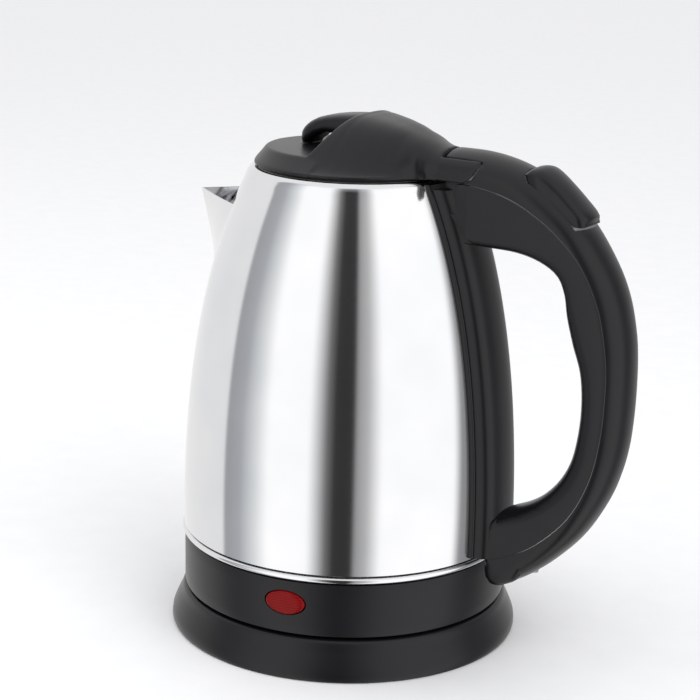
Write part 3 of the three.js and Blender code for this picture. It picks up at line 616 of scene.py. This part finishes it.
OUTER_LINE = [(52, 225.9), (63.5, 225.9), (72.8, 224.9), (82.3, 222.7), (90, 219.7), (99, 214.5),
              (114, 202.7), (126.4, 186.4), (133.4, 172.4), (137.2, 158), (138.7, 146), (139.1, 132),
              (138.8, 120), (137.8, 108), (135.4, 96), (130.4, 82), (121, 65.6), (109.4, 52.6), (98, 43.0),
              (89, 37.6)]
INNER_LINE = [(52, 186), (72, 185.8), (87, 185.2), (98.0, 182.4), (105.8, 177.4), (109.1, 170.0),
              (110.3, 161), (113.3, 150), (117.1, 139), (118.5, 127), (118.0, 114), (115.4, 100.4),
              (110, 89.5), (102, 80.5), (93, 74.3), (82, 69), (74, 62)]
HANDLE_SEAM = [(38, 213.2), (62, 213.4), (74.8, 212.3), (87.1, 209.0), (97, 204.2), (107, 197.5),
               (117.7, 187), (127.2, 169.6), (131.8, 150), (132.8, 133), (131.6, 112), (127.4, 93),
               (118.6, 75.5), (104, 60.6), (90, 52.4), (80, 49.0), (58, 44)]


PALM_SQUARE = 2.2  # 2 is an ellipse, more is squarer


def handle_section(outer, inner, half, back, palm, back_square):
    """A loop round the grip: rounded like an egg on the back, softer still for the fingers."""
    ox, oz = outer
    ix, iz = inner
    depth = math.dist(outer, inner)
    ux, uz = (ox - ix) / depth, (oz - iz) / depth
    steps = 11
    loop = []
    for side, on_back in ((1, True), (1, False), (-1, False), (-1, True)):
        bulge, square = (back, back_square) if on_back else (palm, PALM_SQUARE)
        for k in range(steps + 1):
            share = k / steps if (side > 0) == on_back else 1 - k / steps
            a = share * math.pi / 2
            y = side * half * math.sin(a) ** (2 / square)
            rise = bulge * math.cos(a) ** (2 / square) if share < 1 else 0.0
            d = depth - bulge + rise if on_back else bulge - rise
            loop.append((ix + ux * d, y, iz + uz * d))
    return loop


def handle_solid():
    """The whole grip as one solid, widest at the head, before it is cut into its two shells."""
    stations = 72
    outer = through(OUTER_LINE, stations)
    inner = through(INNER_LINE, stations)
    loops = []
    for k, (out, inn) in enumerate(zip(outer, inner)):
        share = k / stations
        half = between([(0, 15), (0.16, 15), (0.34, 14.2), (0.5, 13.8), (0.75, 13.8), (1, 13.8)], share)
        back = between([(0, 9.5), (0.15, 9.5), (0.3, 9.5), (0.45, 10), (0.8, 9), (1, 7)], share)
        palm = between([(0, 4), (0.2, 6), (0.4, 9), (0.75, 9), (1, 5)], share)
        square = between([(0, 2.0), (0.3, 2.05), (0.7, 2.15), (1, 2.4)], share)
        loops.append(handle_section(out, inn, half, back, palm, square))
    return drawn_out("handle_solid", loops)


def cross_bar(name, x, z, radius, low, high, sides=64):
    """A round bar across the handle."""
    rim = [(x + radius * math.cos(2 * math.pi * k / sides), z + radius * math.sin(2 * math.pi * k / sides))
           for k in range(sides)]
    return drawn_out(name, [[(px, y, pz) for px, pz in rim] for y in (low, high)])


HINGE = (59.5, 223.0)
EAR_RADIUS = 9.7
EAR_POCKET_RADIUS = 10.25
KNUCKLE_RADIUS = 9.0
TONGUE_HALF = 10.0
HEAD_TOP = 225.9
HEAD_HALF = 15
HEAD_CROWN = 9.5
RIB_PROUD = 8.8
SWEEP_HALF = 13.4
ROCKER_PIVOT = (103.0, 211.6)
ROCKER_TOP = [(88.3, 219.2), (89.4, 221.3), (91.8, 222.5), (95.4, 222.6), (99.0, 220.9), (103.5, 217.6),
              (108, 213.7), (112.5, 209.5), (116.2, 205.9), (117.8, 203.9)]
ROCKER_UNDER = [(88.6, 216.0), (90, 214.6), (93, 212.6), (97, 210.2), (101, 207.6), (105, 204.8),
                (109, 202.0), (112.5, 200.4), (115.4, 200.2), (117.0, 200.6)]


def rocker():
    """A see-saw button, crowned like the handle, with a raised round lobe at its front."""
    stations, steps = 34, 40
    top, under = through(ROCKER_TOP, stations), through(ROCKER_UNDER, stations)
    loops = []
    for k, ((tx, tz), (bx, bz)) in enumerate(zip(top, under)):
        share = k / stations
        half = between([(0, 5.2), (0.04, 7.6), (0.12, 9.3), (0.25, 10.0), (0.5, 9.4), (0.9, 9.2),
                        (0.97, 8.2), (1, 6.4)], share)
        drop = between([(0, 1.6), (0.2, 3.4), (0.5, 3.3), (1, 2.6)], share)
        loop = []
        for i in range(steps + 1):
            v = -1 + 2 * i / steps
            y = half * v
            fall = drop * (0.55 * v * v + 0.45 * abs(v) ** 8)
            loop.append((tx - fall * 0.6, y, tz - fall))
        loops.append(loop + [(bx, half, bz), (bx, -half, bz)])
    button = drawn_out("rocker_button", loops)
    apply(button, "BEVEL", width=0.6 * MM, segments=3, limit_method="ANGLE", angle_limit=math.radians(50))
    smooth(button, 45)
    return button


def rocker_well():
    """The opening in the handle's back that the button tips in."""
    return slab("tool_rocker", [(87.7, 212), (88.0, 219.0), (86.6, 222.5), (86.6, 240), (124, 240), (124, 206),
                                (119.0, 202.6), (117.6, 199.6), (110, 199)], 10.35)


def past_rib(z):
    """The radius at which the handle begins, outside the rib."""
    return body_radius(z) + RIB_PROUD


def handle_shells():
    """The grip fitted to vessel, rib, lid ears and rocker, then parted along its seam."""
    solid = handle_solid()
    nose = slab("tool_nose", [(79.6, 50.5), (79.5, 44), (80.2, 40.6), (82.4, 38), (86, 36.9), (96, 42),
                              (100, 52), (92, 66), (84, 68), (70, 62), (70, 50.5)], 13.8, 3.4, 4)
    carve(solid, nose, "UNION")
    # clear of the vessel all round, and of the rib where the rib passes behind the grip
    room = [(body_radius(max(min(z, BODY_HIGH), BODY_LOW)) + 2.6, z) for z in range(30, 216, 5)]
    carve(solid, turned("tool_vessel", [(0, 30)] + room + [(0, 215)], TOOL_SIDES))
    lower = [(past_rib(48), 48.3)] + [(past_rib(z), z) for z in range(54, 184, 5)] + [(past_rib(184.8), 184.8)]
    carve(solid, turned("tool_rib", [(0, 48.3)] + lower + [(0, 184.8)], TOOL_SIDES))
    upper = [(past_rib(z), z) for z in range(180, 210, 3)] + [(past_rib(209), 209.6)]
    upper_rib = turned("tool_upper_rib", [(0, 180)] + upper + [(0, 209.6)], TOOL_SIDES)
    carve(upper_rib, block("tool_sides", (0, -13.5, 170), (120, 13.5, 230)), "INTERSECT")
    carve(solid, upper_rib)
    # the cheeks sweep back from the head to the underside of the arm
    sweep = through([(47.5, 213), (51.0, 208.5), (56.0, 202), (60, 196.5), (64, 191.6), (68.5, 188.2),
                     (75, 185.4)], 20) + [(75, 150), (20, 150), (20, 213)]
    for side in (-1, 1):
        low, high = sorted((side * SWEEP_HALF, side * 30))
        carve(solid, drawn_out("tool_sweep", [[(x, y, z) for x, z in sweep] for y in (low, high)]))
    # pockets for the lid's ears, and the knuckle left standing between them
    for side in (-1, 1):
        low, high = sorted((side * (TONGUE_HALF + 0.15), side * 30))
        pocket = block("tool_ear", (30, low, 200), (HINGE[0], high, 240))
        ear = cross_bar("tool_ear_round", *HINGE, EAR_POCKET_RADIUS, low, high)
        carve(solid, pocket)
        carve(solid, ear)
    front = block("tool_front", (30, -20, 212.9), (HINGE[0], 20, 240))
    carve(front, cross_bar("tool_knuckle", *HINGE, KNUCKLE_RADIUS, -25, 25))
    carve(solid, front)
    carve(solid, rocker_well())
    apply(solid, "BEVEL", width=0.35 * MM, segments=2, limit_method="ANGLE", angle_limit=math.radians(50),
          use_clamp_overlap=True)

    seam = through(HANDLE_SEAM, 70)
    copy = solid.copy()
    copy.data = solid.data.copy()
    bpy.context.collection.objects.link(copy)
    solid.name, copy.name = "handle_back", "handle_front"
    outside = slab("tool_outside", seam + [(20, 20), (170, 20), (170, 260), (30, 260)], 40)
    carve(solid, outside, "INTERSECT")
    # the front shell stops short of the seam, so that a fine joint line shows: under the seam along
    # the arm, and in front of it down the grip
    lowered = []
    for k, (x, z) in enumerate(seam):
        down_the_grip = min(1, k / 18)
        along_the_arm = 1 - min(1, max(0, (k - 24) / 20))
        lowered.append((x - 0.30 * down_the_grip, z - 0.38 * along_the_arm))
    inside = slab("tool_inside", lowered + [(20, 30), (20, 213)], 40)
    carve(copy, inside, "INTERSECT")
    for shell in (solid, copy):
        smooth(shell, 32)
    return solid, copy


def spine():
    """Plastic rib that carries the leads up the back of the vessel, on its flange."""
    across = [(-15.0, 0.1), (-15.0, 1.5), (-14.8, 1.9), (-14.35, 2.05), (-13.8, 1.9), (-13.55, 1.75),
              (-13.35, 2.4), (-13.2, 3.6), (-12.9, 5.1), (-12.2, 6.4), (-11, 7.3), (-9, 7.9), (-6, 8.2),
              (-3, 8.3), (0, 8.3)]
    shape = across + [(-y, d) for y, d in reversed(across[:-1])]
    flat = [(y, min(d, 2.0)) for y, d in shape]
    foot, head, rings = 48.6, 209, 46
    levels = [foot + (head - foot) * k / rings for k in range(rings + 1)]
    rib = [[(math.sqrt((body_radius(z) + d) ** 2 - y * y), y, z) for y, d in shape] for z in levels]
    flange = [[(math.sqrt((body_radius(z) + d) ** 2 - y * y), y, z) for y, d in flat]
              for z in (209.1, 210.2, 210.9)]
    piece = drawn_out("spine_rib", rib + flange)
    smooth(piece, 32)
    return piece


# ---------------------------------------------------------------- lid

RIM_TOP = 214.5
RIM_RADIUS = 44.6
PANEL_TOP = 220.2


def hump_section(x, crest, half, ear_share, lean):
    """A bell over the lid, turning into the barrel of the two ears towards the hinge."""
    steps = 30
    top = []
    tall = crest - RIM_TOP
    for k in range(steps + 1):
        t = k / steps
        bell = (t, 0.5 + 0.5 * math.cos(math.pi * t ** 1.7))
        a = min(t / 0.7, 1) * math.pi / 2
        down = max(t - 0.7, 0) / 0.3
        ear = (math.sin(a) - 0.03 * down, (tall - HEAD_CROWN * (1 - math.cos(a))) / tall * (1 - down))
        v, f = (p + (q - p) * ear_share for p, q in zip(bell, ear))
        top.append((v * half, RIM_TOP + tall * f))
    right = [(x + lean * max(z - PANEL_TOP, 0), y, z) for y, z in top]
    left = [(a, -b, c) for a, b, c in reversed(right[1:])]
    return left + right + [(x, 0.99 * half, 213.2), (x, -0.99 * half, 213.2)]


def join(pieces, name):
    """Several closed pieces made one object."""
    take(pieces[0])
    for piece in pieces[1:]:
        piece.select_set(True)
    bpy.ops.object.join()
    whole = bpy.context.object
    whole.name = whole.data.name = name
    return whole


def lid_panel():
    """The lid's flat front, with a chamfer that widens towards the foot of the hump. Each ring is
    (share of the radius, share of the way from flat to rim, height)."""
    sides = 96
    rings = []
    for share, edge_rise, z in (
            (0.01, 0, PANEL_TOP), (0.5, 0, PANEL_TOP), (0.97, 0, PANEL_TOP), (1.0, 0, 219.95),
            (1.0, 0.12, 219.2), (1.0, 0.88, 214.8), (1.0, 0.97, 214.1), (1.0, 1.0, 213.3),
            (0.98, 1.0, 212.9), (0.02, 1.0, 212.9)):
        ring = []
        for k in range(sides):
            a = 2 * math.pi * k / sides
            off_front = min(abs(a - math.pi), math.radians(95))
            flat = 41 - 5.7 * (off_front / math.radians(85)) ** 1.3
            r = share * (flat + (RIM_RADIUS - flat) * edge_rise)
            ring.append((r * math.cos(a), r * math.sin(a), z))
        rings.append(ring)
    panel = drawn_out("lid_panel", rings)
    take(panel)
    bpy.ops.object.mode_set(mode="EDIT")
    bpy.ops.mesh.select_all(action="SELECT")
    bpy.ops.mesh.bisect(plane_co=(0.004, 0, 0), plane_no=(1, 0, 0), use_fill=True, clear_outer=True)
    bpy.ops.object.mode_set(mode="OBJECT")
    tidy_mesh(panel)
    return panel


def lid_hump():
    """The domed back of the lid, drawn from above the middle to the hinge."""
    crests = [(-3, 236.8), (6, 236.85), (12, 236.2), (20, 234.7), (28, 232.7), (36, 229.8), (42, 227.5),
              (46, 226.3), (49, 225.9), (70, 225.9)]
    halves = [(-3, 44.3), (5, 44.1), (12, 42.8), (20, 39.7), (28, 34.6), (34, 28.9), (38, 23.6),
              (41, 19.0), (45, 15.9), (49, 15), (70, 15)]
    sections = []
    for x in (-3.0, -1.5, 0, 3, 6, 9, 12, 15, 18, 21, 24, 27, 30, 32.5, 35, 37, 39, 41, 43, 45, 47, 49.6):
        lean = 0.6 * max(0, 1 - (x + 3) / 12)
        ear_share = min(max((x - 33) / 13, 0), 1)
        sections.append(hump_section(x, between(crests, x), between(halves, x), ear_share, lean))
    return drawn_out("lid_hump", sections)


def lid_thumb():
    """The tongue for the thumb, reaching forward and down from the hump: (x, half width, low, high)."""
    sides = 32
    tongue = []
    for x, half, low, high in (
            (-25.2, 2.0, 222.0, 224.0), (-24.8, 5.0, 220.9, 225.2), (-23.8, 7.2, 220.2, 227.2),
            (-22.0, 8.4, 220.3, 229.3), (-19.5, 9.0, 222.0, 231.2), (-16, 9.4, 224.6, 232.9),
            (-11, 9.6, 226.5, 234.2), (-5, 9.7, 226, 235.2), (1, 9.7, 226, 235.8), (8, 9.7, 226, 236.2)):
        loop = []
        for k in range(sides):
            a = 2 * math.pi * k / sides
            c, s = math.cos(a), math.sin(a)
            y = half * math.copysign(abs(c) ** 0.6, c)
            z = (low + high) / 2 + (high - low) / 2 * math.copysign(abs(s) ** 0.6, s)
            loop.append((x, y, z))
        tongue.append(loop)
    return drawn_out("lid_thumb", tongue)


def lid_ear(side):
    """One ear beside the handle's tongue, crowned like the handle's head."""
    loops = []
    for v in (TONGUE_HALF + 0.4, 11, 12, 13, 13.8, 14.4, 14.8, HEAD_HALF):
        crown = HEAD_TOP - HEAD_CROWN * (1 - math.sqrt(max(1 - (v / HEAD_HALF) ** 2, 0)))
        outline = [(47, 213.4)]
        for k in range(34):
            a = math.radians(-96 + 6 * k)
            x, z = HINGE[0] + EAR_RADIUS * math.cos(a), HINGE[1] + EAR_RADIUS * math.sin(a)
            outline.append((x, min(z, crown)))
        outline.append((47, crown))
        loops.append([(x, side * v, z) for x, z in outline])
    return drawn_out("lid_ear", loops)


def lid_cover():
    """One moulding: the parts overlap, are melted into one skin and softened where they meet. The
    knuckle's room and the hollow for the plug are cut last, so that they stay crisp."""
    cover = join([lid_panel(), lid_hump(), lid_thumb(), lid_ear(-1), lid_ear(1)], "lid_shell")
    apply(cover, "REMESH", mode="VOXEL", voxel_size=0.62 * MM)
    apply(cover, "SMOOTH", factor=0.5, iterations=6)
    carve(cover, cross_bar("tool_knuckle", *HINGE, EAR_RADIUS, -(TONGUE_HALF + 0.2), TONGUE_HALF + 0.2))
    carve(cover, turned("tool_hollow", [(0, 212), (41.9, 212), (41.9, 214.6), (38, 215.2), (32, 217.4),
                                        (0, 217.6)], TOOL_SIDES))
    smooth(cover, 60)
    return cover


# ---------------------------------------------------------------- put together

set_camera()
studio_light()
soft_lamp("key_tent", (0.9, -0.5, 1.1), 6.0)
soft_lamp("fill_tent", (-1.0, -0.5, 0.9), 3.0)

let_go()
bpy.ops.mesh.primitive_grid_add(x_subdivisions=8, y_subdivisions=8, size=12, location=(0, 0, 0))
floor = bpy.context.object
floor.name = "floor"
floor.data.materials.append(pale_floor())
floor.visible_glossy = False

steel = polished_steel()
black = moulded("satin_black_abs", ("0e0e11", "121216"), 0.34, ior=1.54, grain_mm=0.4, depth=0.08,
                specular=0.3)
inner_black = moulded("matt_nylon", ("2c2c2e", "333335"), 0.6)
rubber = moulded("moulded_rubber", ("161617", "1d1d1e"), 0.8, ior=1.52, grain_mm=0.8, depth=0.3,
                 specular=0.3)
silicone = moulded("pressed_silicone", ("c2bfb7", "cdcac3"), 0.62, ior=1.41)
brass = metal("rolled_brass_strip", ("a8843f", "b8954f"), 0.25, 0.4, 0.6)
aluminium = metal("cast_aluminium", ("b0b2b5", "bec0c3"), 0.4, 0.55, 0.8)
plated = metal("zinc_plated_steel", ("a9abae", "b9bbbe"), 0.25, 0.4, 0.5)
lead_red = moulded("red_lead_sleeve", ("7f241f", "8c2a24"), 0.55)
lead_blue = moulded("blue_lead_sleeve", ("24427c", "2a4a8c"), 0.55)
lamp_glass = moulded("frosted_lamp_glass", ("d8b09a", "e0b8a0"), 0.25)

belongs(vessel(), steel, "kettle", "steel", "steel_body")
belongs(spout(), steel, "kettle", "steel", "spout")
belongs(trim_ring(), steel, "kettle", "steel", "bottom_trim_ring")
belongs(bottom_band(), black, "kettle", "black_plastic", "bottom_housing")
belongs(lamp(), red_lens(), "kettle", "lamp_red", "lamp_lens")
belongs(power_base(), black, "power_base", "black_plastic", "base_shell")
back, front = handle_shells()
belongs(back, black, "kettle", "black_plastic", "handle_outer_shell")
belongs(front, black, "kettle", "black_plastic", "handle_inner_shell")
belongs(spine(), black, "kettle", "black_plastic", "spine")
button = rocker()
belongs(button, black, "switch", "black_plastic", "switch_rocker")
# the pins stop short of the crowned sides, inside the plastic
pins = []
for name, (x, z), radius, half in (("hinge_pin", HINGE, 1.4, 7.6), ("rocker_pin", ROCKER_PIVOT, 1.1, 8.8)):
    pin = cross_bar(name + "_shaft", x, z, radius, -half, half, 24)
    apply(pin, "BEVEL", width=0.2 * MM, segments=2, limit_method="ANGLE", angle_limit=math.radians(40))
    smooth(pin)
    belongs(pin, plated, "kettle", "fastener_steel", name)
    pins.append(pin)
belongs(lid_cover(), black, "lid", "black_plastic", "lid_cover")
# the handle and what it hides keep out of the vessel's mirror, which shows only the two tents
HIDDEN_IN_HANDLE = ("steam_switch", "steam_bimetal", "switch_lead_1", "switch_lead_2", "handle_screw")
for piece in [back, front, button] + pins + [frame["nodes"][name] for name in HIDDEN_IN_HANDLE]:
    piece.visible_glossy = False

SLOT_FINISH = {
    "black_plastic": black, "inner_plastic": inner_black, "steel": steel, "fastener_steel": plated,
    "aluminium": aluminium, "brass": brass, "rubber": rubber, "silicone": silicone,
    "lamp_glass": lamp_glass, "lead_red": lead_red, "lead_blue": lead_blue,
}
for part in frame["record"]["subparts"]:
    node = frame["nodes"][part["node"]]
    if not node.hide_render and part["material_slot"] in SLOT_FINISH:
        node.data.materials.clear()
        node.data.materials.append(SLOT_FINISH[part["material_slot"]])
